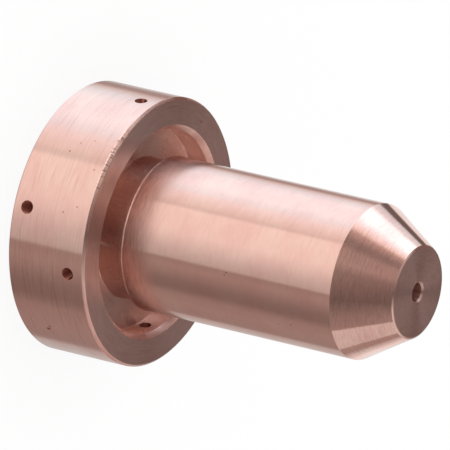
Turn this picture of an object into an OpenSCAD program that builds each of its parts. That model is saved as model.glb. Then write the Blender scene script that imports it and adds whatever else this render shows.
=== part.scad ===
// Plasma torch nozzle, turned from one piece of copper.
// Z is the turning axis: it starts at the flange's flat back face and points to the nose.
// X is the direction that the angles of the radial holes are counted from.

/* [Flange] */
// Outer diameter of the flange
flange_d = 21.8; // [20.6:0.1:26]
// Height of the flange, from its back face to its front face
flange_h = 7.1; // [6.8:0.1:9]
// Chamfer on the front outer edge of the flange
front_chamfer = 0.2; // [0.05:0.05:0.4]
// Chamfer on the back outer edge of the flange
back_chamfer = 0.1; // [0.05:0.05:0.4]

/* [Front recess] */
// Diameter of the wall of the ring-shaped recess in the front face
recess_d = 16.6; // [14:0.1:17.2]
// Depth of the recess below the front face
recess_depth = 2.2; // [2.1:0.1:4.4]
// Chamfer on the lip around the mouth of the recess
lip_chamfer = 0.4; // [0.1:0.05:0.6]
// Radius in the two corners of the recess floor
recess_fillet = 0.1; // [0.05:0.05:0.3]

/* [Barrel] */
// Diameter of the neck, the waist that stands in the recess
neck_d = 11.4; // [10.4:0.1:11.5]
// Diameter of the barrel
barrel_d = 12.5; // [12.2:0.1:13.4]
// Height of the barrel's back shoulder above the front face
shoulder_rise = 0.4; // [0:0.1:2]
// Radius on the back edge of the barrel
shoulder_round = 0.15; // [0.05:0.05:0.3]

/* [Nose] */
// Length of the whole nozzle, from the back face to the flat of the nose
nozzle_l = 31.1; // [28:0.1:36]
// Diameter of the flat at the tip of the nose
nose_d = 7.4; // [5:0.1:8]
// Angle between the nose cone and the axis
nose_angle = 31; // [25:1:40]
// Edge break around the flat of the nose
nose_break = 0.1; // [0.05:0.05:0.3]

/* [Orifice] */
// Diameter of the orifice that the arc leaves by
orifice_d = 1.45; // [0.8:0.05:2]
// Length of the orifice, from the chamber's cone to the flat of the nose
orifice_l = 3; // [2:0.1:4]
// Depth of the 45 degree countersink at the mouth of the orifice
orifice_sink = 0.15; // [0.05:0.05:0.4]

/* [Electrode chamber] */
// Diameter of the chamber that the electrode stands in
chamber_d = 7.6; // [6:0.1:8]
// Angle between the axis and the cone that closes the chamber
chamber_angle = 45; // [35:1:60]
// Chamfer on the back end of the chamber
chamber_lead = 0.4; // [0.1:0.05:0.8]

/* [Back seat] */
// Diameter of the counterbore in the back face
seat_d = 15.2; // [12:0.1:18]
// Depth of the counterbore
seat_depth = 1.8; // [1.6:0.05:1.9]
// Chamfer on the mouth of the counterbore
seat_chamfer = 0.3; // [0.1:0.05:0.5]

/* [Radial holes] */
// Number of holes from the flange's side into the front recess
front_hole_count = 4; // [2:1:8]
// Diameter of these front holes
front_hole_d = 1; // [0.5:0.05:1.05]
// Distance from the front face down to the axes of the front holes
front_hole_drop = 1.52; // [1.4:0.02:1.56]
// Angle of the first front hole
front_hole_angle = 26; // [0:1:89]
// Number of holes from the flange's side into the back counterbore
back_hole_count = 3; // [1:1:8]
// Diameter of these back holes
back_hole_d = 1.05; // [0.5:0.05:1.2]
// Height of the axes of the back holes above the back face
back_hole_rise = 1.26; // [1.1:0.02:1.3]
// Angle of the first back hole
back_hole_angle = 32; // [0:1:119]

/* [Hidden] */
$fn = 96;
copper = [0.80, 0.56, 0.48];

flange_r = flange_d / 2;
recess_r = recess_d / 2;
neck_r = neck_d / 2;
barrel_r = barrel_d / 2;
nose_r = nose_d / 2;
orifice_r = orifice_d / 2;
chamber_r = chamber_d / 2;
seat_r = seat_d / 2;

recess_floor_z = flange_h - recess_depth;
shoulder_z = flange_h + shoulder_rise;
cone_z = nozzle_l - (barrel_r - nose_r) / tan(nose_angle);
throat_z = nozzle_l - orifice_l;
chamber_end_z = throat_z - (chamber_r - orifice_r) / tan(chamber_angle);

// Half of the section, right of the axis: up the outside, then down the inside.
outside = [
    [seat_r + seat_chamfer, 0],
    [flange_r - back_chamfer, 0],
    [flange_r, back_chamfer],
    [flange_r, flange_h - front_chamfer],
    [flange_r - front_chamfer, flange_h],
    [recess_r + lip_chamfer, flange_h],
    [recess_r, flange_h - lip_chamfer],
    [recess_r, recess_floor_z],
    [neck_r, recess_floor_z],
    [neck_r, shoulder_z],
    [barrel_r, shoulder_z],
    [barrel_r, cone_z],
    [nose_r + nose_break * sin(nose_angle), nozzle_l - nose_break * cos(nose_angle)],
    [nose_r - nose_break, nozzle_l]
];
inside = [
    [orifice_r + orifice_sink, nozzle_l],
    [orifice_r, nozzle_l - orifice_sink],
    [orifice_r, throat_z],
    [chamber_r, chamber_end_z],
    [chamber_r, seat_depth + chamber_lead],
    [chamber_r + chamber_lead, seat_depth],
    [seat_r, seat_depth],
    [seat_r, seat_chamfer]
];

// What lies between a square corner at the origin and the arc that touches both its sides.
// It fills an inner corner, and cuts an outer one.
module corner_web(r) {
    difference() {
        square(r);
        translate([r, r]) circle(r);
    }
}

module half_section() {
    difference() {
        union() {
            polygon(concat(outside, inside));
            translate([neck_r, recess_floor_z]) corner_web(recess_fillet);
            translate([recess_r, recess_floor_z]) mirror([1, 0]) corner_web(recess_fillet);
        }
        translate([barrel_r, shoulder_z]) mirror([1, 0]) corner_web(shoulder_round);
    }
}

// Holes of diameter d, drilled from outside the flange in to radius r_end at height z.
module radial_holes(count, angle, d, z, r_end) {
    for (i = [0 : count - 1])
        rotate([0, 0, angle + i * 360 / count])
            translate([r_end, 0, z])
                rotate([0, 90, 0]) cylinder(h = flange_r, d = d);
}

module nozzle_body() {
    color(copper)
        difference() {
            rotate_extrude() half_section();
            radial_holes(front_hole_count, front_hole_angle, front_hole_d,
                flange_h - front_hole_drop, (neck_r + recess_r) / 2);
            radial_holes(back_hole_count, back_hole_angle, back_hole_d,
                back_hole_rise, (chamber_r + seat_r) / 2);
        }
}

nozzle_body();
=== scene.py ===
import math

import bmesh
import bpy
import numpy as np
from mathutils import Matrix, Vector


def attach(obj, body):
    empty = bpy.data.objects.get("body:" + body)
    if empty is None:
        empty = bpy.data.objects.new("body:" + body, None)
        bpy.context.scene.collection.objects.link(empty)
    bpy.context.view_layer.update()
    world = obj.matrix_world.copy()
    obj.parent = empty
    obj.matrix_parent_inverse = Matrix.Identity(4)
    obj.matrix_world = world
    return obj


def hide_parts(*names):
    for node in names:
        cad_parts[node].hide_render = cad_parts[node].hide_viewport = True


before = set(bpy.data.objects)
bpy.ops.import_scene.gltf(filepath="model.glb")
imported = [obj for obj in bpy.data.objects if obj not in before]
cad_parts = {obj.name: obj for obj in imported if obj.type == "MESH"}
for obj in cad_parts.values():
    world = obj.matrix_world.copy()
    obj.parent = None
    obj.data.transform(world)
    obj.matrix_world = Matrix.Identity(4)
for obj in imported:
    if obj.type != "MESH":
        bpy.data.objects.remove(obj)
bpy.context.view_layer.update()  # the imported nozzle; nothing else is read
scene = bpy.context.scene
mm = 0.001
print("frame loaded")


def addNode(tree, kind, inputs=None, **settings):
    # an input is a value, a socket to link, or a node whose first output is linked
    node = tree.nodes.new(kind)
    for name, value in settings.items():
        setattr(node, name, value)
    for socket, value in (inputs or {}).items():
        if isinstance(value, bpy.types.Node):
            value = value.outputs[0]
        if isinstance(value, bpy.types.NodeSocket):
            tree.links.new(value, node.inputs[socket])
        else:
            node.inputs[socket].default_value = value
    return node


def linearColour(hexCode, level=1.0):
    parts = [int(hexCode[i:i + 2], 16) / 255 for i in (1, 3, 5)]
    linear = [p / 12.92 if p <= 0.04045 else ((p + 0.055) / 1.055) ** 2.4 for p in parts]
    return (*[v * level for v in linear], 1)


def fillRamp(node, stops):
    # stops: (position 0..1, hex colour, level)
    elements = node.color_ramp.elements
    while len(elements) > 1:
        elements.remove(elements[-1])
    elements[0].position = stops[0][0]
    elements[0].color = linearColour(*stops[0][1:])
    for position, hexCode, level in stops[1:]:
        elements.new(position).color = linearColour(hexCode, level)


# the view of the photograph
camera = {
    "place": (-0.00174, -0.6365, 0.3832),  # metres
    "pictureRight": (-0.22478, 0.49010, 0.84219),
    "pictureDown": (0.97441, 0.11306, 0.19428),
    "lensMm": 747.0,
    "sensorMm": 36,
    "farthest": 50,  # metres
}


def makeCamera():
    right = Vector(camera["pictureRight"]).normalized()
    up = -Vector(camera["pictureDown"]).normalized()
    back = right.cross(up).normalized()
    turn = Matrix((right, up, back)).transposed().to_4x4()
    turn.translation = camera["place"]
    data = bpy.data.cameras.new("camera")
    data.sensor_width = camera["sensorMm"]
    data.lens = camera["lensMm"]
    data.clip_end = camera["farthest"]
    item = bpy.data.objects.new("camera", data)
    item.matrix_world = turn
    scene.collection.objects.link(item)
    scene.camera = item


makeCamera()
print("camera placed")

# the turned nozzle, all sizes in mm as in the drawing
nozzle = {
    "flangeRadius": 10.9,
    "flangeHeight": 7.1,
    "frontChamfer": 0.2,
    "backChamfer": 0.1,
    "recessRadius": 8.3,
    "recessFloor": 4.9,
    "lipChamfer": 0.4,
    "recessFillet": 0.1,
    "neckRadius": 5.7,
    "barrelRadius": 6.25,
    "shoulder": 7.5,
    "shoulderBreak": 0.05,
    "burrHeight": 0.03,  # the fine raised edge that the cutting of the shoulder left on the barrel
    "burrWidth": 0.12,
    "length": 31.1,
    "noseRadius": 3.7,
    "noseAngle": 31,
    "noseBreak": 0.1,
    "orificeRadius": 0.725,
    "orificeLength": 3.0,
    "orificeSink": 0.15,
    "chamberRadius": 3.8,
    "chamberLead": 0.4,
    "seatRadius": 7.6,
    "seatDepth": 1.8,
    "seatChamfer": 0.3,
    "tornWidth": 0.12,  # how far from the flange's front edge the metal is torn
    "toolEdge": 0.04,  # the round that any turned edge keeps
    "segments": 768,  # faces round the axis
}
holes = {
    "front": {"count": 4, "diameter": 1.0, "height": 5.58, "angle": 26, "inner": 7.0},
    "back": {"count": 3, "diameter": 1.05, "height": 1.26, "angle": 32, "inner": 5.7},
    "edgeBreak": 0.03,  # round the mouth of each hole
    "segments": 56,
}
# marks of use: pits as (angle in degrees, height, radius of the ball that cuts them)
dents = {
    "flange": [(244.7, 3.31, 0.07), (237.4, 4.94, 0.05), (239.9, 3.87, 0.05), (250.5, 6.1, 0.06),
               (267.3, 5.72, 0.06), (270.6, 4.58, 0.06), (329.2, 2.5, 0.19), (327.2, 2.75, 0.1)],
    "barrel": [(287.6, 17.33, 0.07), (289.4, 17.18, 0.06), (321.0, 21.8, 0.07), (318.5, 23.0, 0.06)],
    "nick": (165.2, 9.62, 0.16),  # on the front ring: angle, radius, size
    "pitRise": 0.25,  # how far the ball's middle stands out of the metal, in its own radii
    "nickRise": 0.5,
    "raggedEdge": (222, 266),  # degrees between which the flange's front edge is torn
    "raggedFade": (12, 16),  # degrees over which that grows and fades
    "raggedDepth": 0.06,
    "raggedDrop": 0.7,  # torn metal also hangs down, by this share of how far it is pulled in
    "raggedRest": 0.04,  # the share of it that the whole edge has
}


def sectionCorners():
    n = nozzle
    slope = math.radians(n["noseAngle"])
    coneStart = n["length"] - (n["barrelRadius"] - n["noseRadius"]) / math.tan(slope)
    throat = n["length"] - n["orificeLength"]
    chamberEnd = throat - (n["chamberRadius"] - n["orificeRadius"])
    edge, bevel = n["toolEdge"], n["shoulderBreak"]
    burr = n["barrelRadius"] + n["burrHeight"]
    # (radius, height, round of that corner, finish of the surface that follows)
    return [
        (n["seatRadius"] + n["seatChamfer"], 0, edge, "faced"),
        (n["flangeRadius"] - n["backChamfer"], 0, 0.03, "turned"),
        (n["flangeRadius"], n["backChamfer"], 0.03, "flange"),
        (n["flangeRadius"], n["flangeHeight"] - n["frontChamfer"] - n["tornWidth"], 0, "flange"),
        (n["flangeRadius"], n["flangeHeight"] - n["frontChamfer"], edge, "turned"),
        (n["flangeRadius"] - n["frontChamfer"], n["flangeHeight"], edge, "faced"),
        (n["flangeRadius"] - n["frontChamfer"] - n["tornWidth"], n["flangeHeight"], 0, "faced"),
        (n["recessRadius"] + n["lipChamfer"], n["flangeHeight"], edge, "turned"),
        (n["recessRadius"], n["flangeHeight"] - n["lipChamfer"], 0.06, "grooved"),
        (n["recessRadius"], n["recessFloor"], n["recessFillet"], "grooved"),
        (n["neckRadius"], n["recessFloor"], n["recessFillet"], "grooved"),
        (n["neckRadius"], n["shoulder"], 0.05, "grooved"),
        (n["barrelRadius"] - bevel, n["shoulder"], 0.03, "turned"),
        (burr, n["shoulder"] + bevel, 0.02, "turned"),
        (n["barrelRadius"], n["shoulder"] + bevel + n["burrWidth"], 0.1, "turned"),
        (n["barrelRadius"], coneStart, 0.02, "coned"),
        (n["noseRadius"] + n["noseBreak"] * math.sin(slope),
         n["length"] - n["noseBreak"] * math.cos(slope), edge, "turned"),
        (n["noseRadius"] - n["noseBreak"], n["length"], edge, "faced"),
        (n["orificeRadius"] + n["orificeSink"], n["length"], 0.03, "faced"),
        (n["orificeRadius"], n["length"] - n["orificeSink"], 0.03, "reamed"),
        (n["orificeRadius"], throat, 0.05, "drilled"),
        (n["chamberRadius"], chamberEnd, 0.2, "drilled"),
        (n["chamberRadius"], n["seatDepth"] + n["chamberLead"], 0.05, "drilled"),
        (n["chamberRadius"] + n["chamberLead"], n["seatDepth"], 0.05, "faced"),
        (n["seatRadius"], n["seatDepth"], 0.15, "drilled"),
        (n["seatRadius"], n["seatChamfer"], edge, "turned"),
    ]


def roundedSection(corners, steps=3):
    points, finishes = [], []
    count = len(corners)
    for i in range(count):
        here = np.array(corners[i][:2])
        if corners[i][2] == 0:  # a point on a straight side
            points.append(tuple(here))
            finishes.append(corners[i][3])
            continue
        toBefore = np.array(corners[i - 1][:2]) - here
        toAfter = np.array(corners[(i + 1) % count][:2]) - here
        lengthBefore, lengthAfter = np.linalg.norm(toBefore), np.linalg.norm(toAfter)
        toBefore, toAfter = toBefore / lengthBefore, toAfter / lengthAfter
        half = math.acos(float(np.clip(toBefore @ toAfter, -1, 1))) / 2
        # a round takes up less than half of each side
        run = min(corners[i][2] / math.tan(half), lengthBefore * 0.45, lengthAfter * 0.45)
        radius = run * math.tan(half)
        middle = (toBefore + toAfter) / np.linalg.norm(toBefore + toAfter)
        centre = here + middle * radius / math.sin(half)
        first, last = here + toBefore * run - centre, here + toAfter * run - centre
        start = math.atan2(first[1], first[0])
        sweep = (math.atan2(last[1], last[0]) - start + math.pi) % (2 * math.pi) - math.pi
        for k in range(steps + 1):
            angle = start + sweep * k / steps
            points.append((centre[0] + radius * math.cos(angle), centre[1] + radius * math.sin(angle)))
            finishes.append(corners[i][3])
    return np.array(points), finishes


def meshObject(name, verts, faces):
    data = bpy.data.meshes.new(name)
    data.from_pydata(verts, [], faces)
    data.update()
    item = bpy.data.objects.new(name, data)
    scene.collection.objects.link(item)
    return item


def tornEdge(section, angles):
    # how far the tool tore the flange's front edge in: each side of the chamfer has its own grain
    first, last = dents["raggedEdge"]
    grows, fades = dents["raggedFade"]
    degrees = np.degrees(angles)
    share = np.clip((degrees - first) / grows, 0, 1) * np.clip((last - degrees) / fades, 0, 1)
    random = np.random.default_rng(7)
    pulled = 0
    radius, top, width = nozzle["flangeRadius"], nozzle["flangeHeight"], nozzle["frontChamfer"]
    for edge in ((radius, top - width), (radius - width, top)):
        # full within a third of the torn width, and none at its end
        near = np.clip(1.5 - 1.5 * np.linalg.norm(section - edge, axis=1) / nozzle["tornWidth"], 0, 1)
        pulled = pulled + near[:, None] * random.random(len(angles)) * (dents["raggedRest"] + share)
    return dents["raggedDepth"] * pulled


def revolve(name, section, segments):
    angles = np.arange(segments) * 2 * math.pi / segments
    pulled, drop = tornEdge(section, angles), dents["raggedDrop"]
    rings = [np.stack([(r - pull) * np.cos(angles), (r - pull) * np.sin(angles), z - pull * drop], 1)
             for (r, z), pull in zip(section, pulled)]
    verts = np.concatenate(rings) * mm
    faces = []
    for i in range(len(section)):
        low, high = i * segments, (i + 1) % len(section) * segments
        for k in range(segments):
            after = (k + 1) % segments
            faces.append((low + k, low + after, high + after, high + k))
    return meshObject(name, verts.tolist(), faces)


def holeList():
    found = []
    for kind in ("front", "back"):
        h = holes[kind]
        for i in range(h["count"]):
            angle = math.radians(h["angle"] + i * 360 / h["count"])
            found.append((angle, h["height"], h["diameter"] / 2, h["inner"]))
    return found


def holeCutter(angle, height, radius, inner):
    # a drill with a small flare where it leaves the flange's side, for the broken edge: the flare's points
    # are given in edge breaks from the drill and from the flange's side
    outer, edge, segments = nozzle["flangeRadius"], holes["edgeBreak"], holes["segments"]
    profile = [(radius, inner), (radius, outer - edge * 1.4), (radius + edge * 0.35, outer - edge * 0.45),
               (radius + edge * 1.2, outer + edge * 0.6), (radius + edge * 1.2, outer + 1)]
    turnTo = Matrix.Rotation(angle, 4, "Z")
    verts, faces = [], []
    for r, along in profile:
        for k in range(segments):
            t = 2 * math.pi * k / segments
            verts.append(turnTo @ Vector((along, r * math.cos(t), height + r * math.sin(t))))
    for i in range(len(profile) - 1):
        low, high = i * segments, (i + 1) * segments
        for k in range(segments):
            after = (k + 1) % segments
            faces.append((low + k, high + k, high + after, low + after))
    faces.append(tuple(range(segments)))
    faces.append(tuple(range((len(profile) - 1) * segments, len(profile) * segments))[::-1])
    return [tuple(v) for v in verts], faces


def dentPlaces():
    # small pits, each cut by a ball that stands a little above the surface
    places, rise = [], dents["pitRise"]
    for kind, radius in (("flange", nozzle["flangeRadius"]), ("barrel", nozzle["barrelRadius"])):
        places += [(radius + size * rise, turn, height, size) for turn, height, size in dents[kind]]
    turn, radius, size = dents["nick"]
    places.append((radius, turn, nozzle["flangeHeight"] + size * dents["nickRise"], size))
    return [(radius * math.cos(math.radians(turn)), radius * math.sin(math.radians(turn)), height, size)
            for radius, turn, height, size in places]


def dentCutters():
    verts, faces = [], []
    for x, y, z, size in dentPlaces():
        ball = bmesh.new()
        bmesh.ops.create_icosphere(ball, subdivisions=2, radius=size)
        faces += [tuple(len(verts) + v.index for v in face.verts) for face in ball.faces]
        verts += [tuple(v.co + Vector((x, y, z))) for v in ball.verts]
        ball.free()
    return verts, faces


def cutAway(item, verts, faces):
    cutter = meshObject("cutter", [tuple(c * mm for c in v) for v in verts], faces)
    work = bmesh.new()
    work.from_mesh(cutter.data)
    bmesh.ops.recalc_face_normals(work, faces=work.faces)
    work.to_mesh(cutter.data)
    work.free()
    cut = item.modifiers.new("cut", "BOOLEAN")
    cut.object = cutter
    cut.solver = "EXACT"
    cut.use_self = True
    shown = item.evaluated_get(bpy.context.evaluated_depsgraph_get())
    item.modifiers.clear()
    item.data = bpy.data.meshes.new_from_object(shown)
    bpy.data.objects.remove(cutter)


def readArray(collection, attribute, width):
    values = np.empty(len(collection) * width)
    collection.foreach_get(attribute, values)
    return values.reshape(-1, width) if width > 1 else values


# how the faces of the cut nozzle are told apart
shading = {
    "sharpAngle": 25,  # sides of the section that meet at more degrees keep a sharp edge
    "tornLean": 0.012,  # torn faces lean from the turned surface by more: one minus the cosine of it
    "holeFit": 1.015,  # a hole's faces lie within this many of its radii
    "holeFlare": 1.2,  # and at its mouth this many edge breaks further out
    "acrossHole": 0.85,  # they lean along the drill by less than this
    "holeMargin": 0.1,  # mm, past each end of the hole
    "pitFit": 1.02,  # a pit's faces lie within this many of its radii
}


def trueNormals(item, section, finishes, drilled):
    # each corner of each face gets the exact normal of the turned or drilled surface,
    # and each face the finish of its cut
    data = item.data
    verts = readArray(data.vertices, "co", 3) / mm
    faceMiddle = readArray(data.polygons, "center", 3) / mm
    faceNormal = readArray(data.polygons, "normal", 3)
    faceArea = readArray(data.polygons, "area", 1) / mm ** 2
    faceLoops = readArray(data.polygons, "loop_total", 1).astype(int)
    loopVert = readArray(data.loops, "vertex_index", 1).astype(int)
    loopFace = np.repeat(np.arange(len(faceLoops)), faceLoops)

    after = np.roll(section, -1, 0)
    side = after - section
    sideLength = np.linalg.norm(side, axis=1)
    sideNormal = np.stack([side[:, 1], -side[:, 0]], 1) / sideLength[:, None]
    before = np.roll(sideNormal, 1, 0)
    smooth = np.sum(before * sideNormal, 1) > math.cos(math.radians(shading["sharpAngle"]))
    shared = before + sideNormal
    shared /= np.linalg.norm(shared, axis=1)[:, None]
    startNormal = np.where(smooth[:, None], shared, sideNormal)
    endNormal = np.where(np.roll(smooth, -1)[:, None], np.roll(shared, -1, 0), sideNormal)

    middle = np.stack([np.hypot(faceMiddle[:, 0], faceMiddle[:, 1]), faceMiddle[:, 2]], 1)
    outward = faceMiddle[:, :2] / np.maximum(middle[:, :1], 1e-9)
    flat = np.stack([np.sum(faceNormal[:, :2] * outward, 1), faceNormal[:, 2]], 1)
    best = np.full(len(middle), 1e9)
    faceSide = np.zeros(len(middle), int)
    for i in range(len(section)):
        along = np.clip((middle - section[i]) @ side[i] / sideLength[i] ** 2, 0, 1)
        away = np.linalg.norm(section[i] + along[:, None] * side[i] - middle, axis=1)
        miss = away + 1 - flat @ sideNormal[i]
        closer = miss < best
        best[closer], faceSide[closer] = miss[closer], i

    owner = faceSide[loopFace]
    place = verts[loopVert]
    reach = np.hypot(place[:, 0], place[:, 1])
    offset = np.stack([reach, place[:, 2]], 1) - section[owner]
    along = np.clip(np.sum(offset * side[owner], 1) / sideLength[owner] ** 2, 0, 1)[:, None]
    turned = startNormal[owner] * (1 - along) + endNormal[owner] * along
    turned /= np.linalg.norm(turned, axis=1)[:, None]
    outX, outY = turned[:, 0] * place[:, 0] / reach, turned[:, 0] * place[:, 1] / reach
    normals = np.stack([outX, outY, turned[:, 1]], 1)

    torn = 1 - np.sum(flat * sideNormal[faceSide], 1) > shading["tornLean"]
    own = torn[loopFace]
    normals[own] = faceNormal[loopFace][own]
    names = list(finish)
    faceFinish = np.array([names.index(label) for label in finishes])[faceSide]

    most, margin = shading["acrossHole"], shading["holeMargin"]
    for angle, height, radius, inner in drilled:
        axis = np.array([math.cos(angle), math.sin(angle), 0])
        fromAxis = faceMiddle - [0, 0, height]
        depth = fromAxis @ axis
        gap = np.linalg.norm(fromAxis - depth[:, None] * axis, axis=1)
        lean = faceNormal @ axis
        flare = np.where(depth > nozzle["flangeRadius"] - margin, holes["edgeBreak"] * shading["holeFlare"], 0)
        near = gap < radius * shading["holeFit"] + flare
        inHole = (depth > inner - margin) & near & (np.abs(lean) < most)
        picked = inHole[loopFace]
        spot = place[picked] - [0, 0, height]
        spot -= (spot @ axis)[:, None] * axis
        spot /= np.linalg.norm(spot, axis=1)[:, None]
        tilt = np.clip(lean[loopFace[picked]], -most, most)[:, None]
        normals[picked] = -spot * np.sqrt(1 - tilt ** 2) + axis * tilt
        faceFinish[inHole] = names.index("drilled")
    for x, y, z, size in dentPlaces():
        gap = np.linalg.norm(faceMiddle - [x, y, z], axis=1)
        # pits take the drilled finish, whose darker tint is painted shade in them
        faceFinish[(gap < size * shading["pitFit"]) & (faceArea < size ** 2)] = names.index("drilled")
    data.polygons.foreach_set("material_index", faceFinish)
    data.shade_smooth()
    data.normals_split_custom_set(normals.tolist())


def makeNozzle():
    section, finishes = roundedSection(sectionCorners())
    item = revolve("nozzle_turned", section, nozzle["segments"])
    for look in finish:
        item.data.materials.append(copperFinish(look))
    drilled = holeList()
    verts, faces = dentCutters()
    for drill in drilled:
        newVerts, newFaces = holeCutter(*drill)
        faces += [tuple(len(verts) + i for i in face) for face in newFaces]
        verts += newVerts
    cutAway(item, verts, faces)
    trueNormals(item, section, finishes, drilled)
    return item


# bare copper: one base colour, a little tinted by cut; the darker tints of the drilled and reamed cuts are
# painted shade in the holes, bores and pits
copper = {
    "light": "#F2C8B9",
    "dark": "#EDBDB0",  # where fingers and air have dulled it
    "toolLine": "#B98A7C",
    "anisotropy": 1.0,
    "acrossMarks": 0.25,  # turns from the marks to the direction in which they blur a highlight
    "patchSize": 3,  # mm, of the dulled patches
    "patches": (0.35, 0.65),  # noise levels between which clean copper passes into dulled
    "gritSize": 0.15,  # mm
    # pitch along the section in mm, streaks in each radius, and the noise levels between which a line
    # appears. Real feed marks are finer, 0.05 to 0.1 mm apart: these are drawn coarser so that they show
    "marks": {"fine": (0.12, 7, 0.35, 0.7), "scratch": (0.22, 3, 0.55, 0.75)},
    "inward": -0.77,  # what each mm of radius adds to the length along the section
    # the tool chattered near the shoulder, so the barrel starts out duller and more scored
    "chatter": {"starts": 8, "ends": 11, "roughness": 0.055, "lines": 5.0},
}
# for each cut: roughness where clean and where dulled, tint, strength of the fine lines and of the
# scratches, and height of the grit in mm
finish = {
    "turned": {"smooth": 0.135, "rough": 0.15, "tint": "#FFFFFF", "fine": 0.08, "scratch": 0.08, "grit": 0.0008},
    "flange": {"smooth": 0.14, "rough": 0.18, "tint": "#FFFFFF", "fine": 0.13, "scratch": 0.25, "grit": 0.001},
    "coned": {"smooth": 0.11, "rough": 0.15, "tint": "#FFFFFF", "fine": 0.24, "scratch": 0.18, "grit": 0.002},
    "faced": {"smooth": 0.28, "rough": 0.33, "tint": "#F0F6FA", "fine": 0.25, "scratch": 0.2, "grit": 0.003},
    "grooved": {"smooth": 0.25, "rough": 0.3, "tint": "#FAFBFB", "fine": 0.2, "scratch": 0.2, "grit": 0.002},
    # drilled and reamed: their darker tints are painted shade deep in the holes and the orifice
    "drilled": {"smooth": 0.4, "rough": 0.55, "tint": "#DDB6AA", "fine": 0.2, "scratch": 0.3, "grit": 0.003},
    "reamed": {"smooth": 0.3, "rough": 0.35, "tint": "#E6DEDC", "fine": 0.2, "scratch": 0.3, "grit": 0.002},
}


def copperFinish(look):
    # copper straight from the lathe: fine feed marks run round the axis and draw each highlight out
    # across them, so the metal shows soft bands along its length, with a thin hatching of darker lines
    cut, chatter = finish[look], copper["chatter"]
    material = bpy.data.materials.new(look + "Copper")
    material.use_nodes = True
    tree = material.node_tree
    shader = tree.nodes["Principled BSDF"]
    place = addNode(tree, "ShaderNodeTexCoord").outputs["Object"]
    parts = addNode(tree, "ShaderNodeSeparateXYZ", {"Vector": place})
    flatPlace = addNode(tree, "ShaderNodeCombineXYZ", {"X": parts.outputs["X"], "Y": parts.outputs["Y"]})
    radius = addNode(tree, "ShaderNodeVectorMath", {0: flatPlace}, operation="LENGTH").outputs["Value"]
    around = addNode(tree, "ShaderNodeVectorMath", {0: flatPlace}, operation="NORMALIZE")
    # one length that grows along the section on walls, faces and the cone alike
    across = addNode(tree, "ShaderNodeMath", {0: radius, 1: copper["inward"], 2: parts.outputs["Z"]},
                     operation="MULTIPLY_ADD")
    alongSection = addNode(tree, "ShaderNodeCombineXYZ", {"Z": across})

    lines = {}
    for label, (pitch, streaks, faint, full) in copper["marks"].items():
        stretched = addNode(tree, "ShaderNodeVectorMath", {0: alongSection, 1: (0, 0, 1 / (pitch * mm))},
                            operation="MULTIPLY")
        spot = addNode(tree, "ShaderNodeVectorMath", {0: around, 1: (streaks, streaks, 1), 2: stretched},
                       operation="MULTIPLY_ADD")
        noise = addNode(tree, "ShaderNodeTexNoise", {"Vector": spot, "Scale": 1, "Detail": 2})
        lines[label] = addNode(tree, "ShaderNodeMapRange", {0: noise, 1: faint, 2: full, 4: cut[label]})
    patch = addNode(tree, "ShaderNodeTexNoise",
                    {"Vector": place, "Scale": 1 / (copper["patchSize"] * mm), "Detail": 4})
    grit = addNode(tree, "ShaderNodeTexNoise",
                   {"Vector": place, "Scale": 1 / (copper["gritSize"] * mm), "Detail": 1})

    clean, dull = copper["patches"]
    dulled = addNode(tree, "ShaderNodeMapRange", {0: patch, 1: clean, 2: dull})
    rough = addNode(tree, "ShaderNodeMapRange", {0: dulled, 3: cut["smooth"], 4: cut["rough"]})
    if look == "turned":
        starts, ends = chatter["starts"] * mm, chatter["ends"] * mm
        near = addNode(tree, "ShaderNodeMapRange", {0: parts.outputs["Z"], 1: starts, 2: ends, 3: 1, 4: 0},
                       interpolation_type="SMOOTHSTEP")
        rough = addNode(tree, "ShaderNodeMath", {0: near, 1: chatter["roughness"], 2: rough},
                        operation="MULTIPLY_ADD")
        more = addNode(tree, "ShaderNodeMath", {0: near, 1: chatter["lines"], 2: 1},
                       operation="MULTIPLY_ADD")
        lines["fine"] = addNode(tree, "ShaderNodeMath", {0: lines["fine"], 1: more}, operation="MULTIPLY")
    score = addNode(tree, "ShaderNodeMath", {0: lines["scratch"], 1: lines["fine"]}, operation="ADD")

    light, dark, toolLine, tint = (linearColour(c) for c in
                                   (copper["light"], copper["dark"], copper["toolLine"], cut["tint"]))
    base = addNode(tree, "ShaderNodeMix", {0: dulled, 6: light, 7: dark}, data_type="RGBA")
    lined = addNode(tree, "ShaderNodeMix", {0: score, 6: base.outputs[2], 7: toolLine}, data_type="RGBA")
    tinted = addNode(tree, "ShaderNodeMix", {0: 1.0, 6: lined.outputs[2], 7: tint}, data_type="RGBA",
                     blend_type="MULTIPLY")
    bump = addNode(tree, "ShaderNodeBump", {"Height": grit, "Strength": 1, "Distance": cut["grit"] * mm})
    tangent = addNode(tree, "ShaderNodeTangent", direction_type="RADIAL", axis="Z")
    for socket, value in (("Base Color", tinted.outputs[2]), ("Roughness", rough.outputs[0]),
                          ("Normal", bump.outputs[0]), ("Tangent", tangent.outputs[0])):
        tree.links.new(value, shader.inputs[socket])
    shader.inputs["Metallic"].default_value = 1
    shader.inputs["Anisotropic"].default_value = copper["anisotropy"]
    shader.inputs["Anisotropic Rotation"].default_value = copper["acrossMarks"]
    return material


body = makeNozzle()
print("nozzle turned and drilled:", len(body.data.polygons), "faces")
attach(body, "root")
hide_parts("nozzle_body")
print("copper finished")
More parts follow.
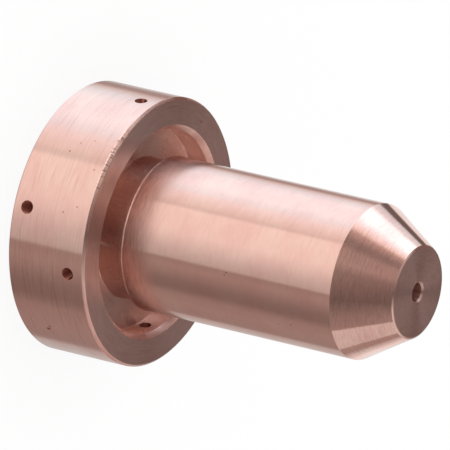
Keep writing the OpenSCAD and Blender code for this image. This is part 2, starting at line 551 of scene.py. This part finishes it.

# what the bright metal mirrors: soft panels and dim gaps all round the part, which stand still. Each belt is
# lit for the surfaces of one slope, and runs round the axis from +X towards +Y, as (degrees, tone, level).
# The levels were set from the brightness measured round the barrel, cone and ring in the photograph,
# and then corrected by setting renders beside it
studio = {
    "under": [(0, "room", 0.35), (180, "room", 0.3)],
    "walls": [
        (0, "plain", 1.0), (90, "plain", 0.8), (170, "plain", 1.2), (182, "window", 1.15),
        (186, "plain", 0.9), (190, "plain", 0.58), (194, "room", 0.4), (197, "room", 0.46),
        (200, "plain", 0.74), (205, "window", 1.28), (212, "window", 1.58), (226, "window", 1.65),
        (232, "window", 1.48), (237, "mild", 1.22), (244, "plain", 0.94), (247, "plain", 0.8),
        (248.5, "plain", 1.06), (266, "plain", 1.0), (272, "plain", 0.86), (279, "plain", 0.68),
        (285.5, "plain", 0.55), (286.5, "room", 0.36), (292, "room", 0.39), (303, "room", 0.24),
        (309, "room", 0.22), (315, "room", 0.33), (324, "room", 0.36), (337, "room", 0.33),
        (340.5, "plain", 0.52), (349, "plain", 0.58), (356, "plain", 0.66)],
    "edges": [
        (0, "plain", 0.6), (150, "plain", 0.6), (190, "room", 0.5), (205, "window", 2.4),
        (240, "plain", 2.0), (265, "plain", 2.0), (285, "plain", 1.0), (345, "plain", 1.0)],
    "cone": [
        (0, "plain", 1.0), (90, "plain", 0.5), (165, "plain", 1.1), (180, "plain", 1.0),
        (182.5, "plain", 0.3), (184, "plain", 0.16), (192, "room", 0.2), (194.5, "window", 1.15),
        (202, "window", 1.42), (207, "window", 2.4), (219, "window", 2.5), (226, "window", 1.75),
        (231, "plain", 1.15), (235, "room", 0.55), (242, "room", 0.27), (246, "room", 0.25),
        (251, "room", 0.39), (261, "room", 0.44), (268, "room", 0.28), (290, "room", 0.15),
        (304, "room", 0.29), (315, "room", 0.36), (316.2, "plain", 0.73), (336.5, "plain", 0.68),
        (337.5, "room", 0.43), (345, "room", 0.4), (350, "plain", 0.66)],
    "rims": [
        (0, "plain", 0.5), (60, "warm", 0.27), (215, "warm", 0.27), (232, "plain", 0.8),
        (252, "plain", 0.75), (265, "room", 0.32), (278, "room", 0.15), (287, "plain", 0.42),
        (300, "plain", 0.75), (335, "warm", 0.5)],
    "overhead": [
        (0, "plain", 0.6), (60, "warm", 0.25), (208, "warm", 0.22), (225, "plain", 0.7),
        (255, "plain", 0.5), (280, "plain", 0.15), (300, "plain", 0.85), (335, "plain", 0.9)],
    "faces": [(0, "room", 0.23), (180, "room", 0.23)],
    # slopes in degrees between which each belt passes into the next one up
    "passages": [(-40, -24), (10, 14), (18, 24), (36, 41), (47, 51), (60, 66)],
    "tones": {"window": "#DDF1FF", "mild": "#F2F8FF", "plain": "#FFFFFF", "room": "#FFECE8",
              "warm": "#FFD2CC"},
    "front": (0, -0.864, 0.503),  # fixed: the way to the photograph's view, which the belts are laid out for
}


def makeWorld():
    world = bpy.data.worlds.new("studio")
    scene.world = world
    world.use_nodes = True
    tree = world.node_tree
    tree.nodes.clear()
    seen = addNode(tree, "ShaderNodeTexCoord").outputs["Generated"]
    # the slope of a surface that would mirror this part of the studio towards the photograph's view
    leant = addNode(tree, "ShaderNodeVectorMath", {0: seen, 1: studio["front"]}, operation="ADD")
    slope = addNode(tree, "ShaderNodeVectorMath", {0: leant}, operation="NORMALIZE")
    parts = addNode(tree, "ShaderNodeSeparateXYZ", {"Vector": slope})
    angle = addNode(tree, "ShaderNodeMath", {0: parts.outputs["Y"], 1: parts.outputs["X"]},
                    operation="ARCTAN2")
    turns = addNode(tree, "ShaderNodeMath", {0: angle, 1: 2 * math.pi}, operation="DIVIDE")
    position = addNode(tree, "ShaderNodeMath", {0: turns, 1: 1.0, 2: 0.0}, operation="WRAP")
    ramps = []
    for belt in ("under", "walls", "edges", "cone", "rims", "overhead", "faces"):
        ramps.append(addNode(tree, "ShaderNodeValToRGB", {0: position}))
        stops = [(degrees / 360, studio["tones"][tone], level) for degrees, tone, level in studio[belt]]
        fillRamp(ramps[-1], stops + [(1.0, *stops[0][1:])])
    shown = ramps[0].outputs[0]
    for ramp, passage in zip(ramps[1:], studio["passages"]):
        low, high = (math.sin(math.radians(e)) for e in passage)
        share = addNode(tree, "ShaderNodeMapRange", {0: parts.outputs["Z"], 1: low, 2: high},
                        interpolation_type="SMOOTHSTEP")
        shown = addNode(tree, "ShaderNodeMix", {0: share, 6: shown, 7: ramp}, data_type="RGBA").outputs[2]
    paths = addNode(tree, "ShaderNodeLightPath")
    mirrored = addNode(tree, "ShaderNodeBackground", {"Color": shown})
    plain = addNode(tree, "ShaderNodeBackground", {"Color": linearColour("#FFFFFF")})
    mixed = addNode(tree, "ShaderNodeMixShader", {0: paths.outputs["Is Glossy Ray"], 1: plain, 2: mirrored})
    addNode(tree, "ShaderNodeOutputWorld", {"Surface": mixed})


# the board that the nozzle stands on
board = {
    "colour": "#FFFFFF",
    "halfWidth": 10,  # metres
    "whiteness": 0.85,  # how much of it the camera sees as pure white: the rest shows its shadows
}


def makeFloor():
    w = board["halfWidth"]
    floor = meshObject("floor", [(-w, -w, 0), (w, -w, 0), (w, w, 0), (-w, w, 0)], [(0, 1, 2, 3)])
    floor.visible_glossy = False
    material = bpy.data.materials.new("matt white board")
    material.use_nodes = True
    tree = material.node_tree
    tree.nodes.clear()
    # painted matt white board: it scatters light evenly and has no gloss
    matt = addNode(tree, "ShaderNodeBsdfDiffuse", {"Color": linearColour(board["colour"])})
    white = addNode(tree, "ShaderNodeEmission", {"Color": linearColour(board["colour"])})
    clear = addNode(tree, "ShaderNodeBsdfTransparent")
    paths = addNode(tree, "ShaderNodeLightPath")
    # under the nozzle it keeps its full shadow, as seen down the orifice
    place = addNode(tree, "ShaderNodeTexCoord").outputs["Object"]
    distance = addNode(tree, "ShaderNodeVectorMath", {0: place}, operation="LENGTH").outputs["Value"]
    uncovered = addNode(tree, "ShaderNodeMath", {0: distance, 1: nozzle["seatRadius"] * mm},
                        operation="GREATER_THAN")
    whiteness = addNode(tree, "ShaderNodeMath", {0: uncovered, 1: board["whiteness"]}, operation="MULTIPLY")
    share = addNode(tree, "ShaderNodeMath", {0: paths.outputs["Is Camera Ray"], 1: whiteness},
                    operation="MULTIPLY")
    lit = addNode(tree, "ShaderNodeMixShader", {0: share, 1: matt, 2: white})
    under = addNode(tree, "ShaderNodeNewGeometry").outputs["Backfacing"]  # from below the board is clear
    both = addNode(tree, "ShaderNodeMixShader", {0: under, 1: lit, 2: clear})
    addNode(tree, "ShaderNodeOutputMaterial", {"Surface": both})
    floor.data.materials.append(material)


makeWorld()
makeFloor()
scene.view_settings.view_transform = "Standard"
print("studio set")
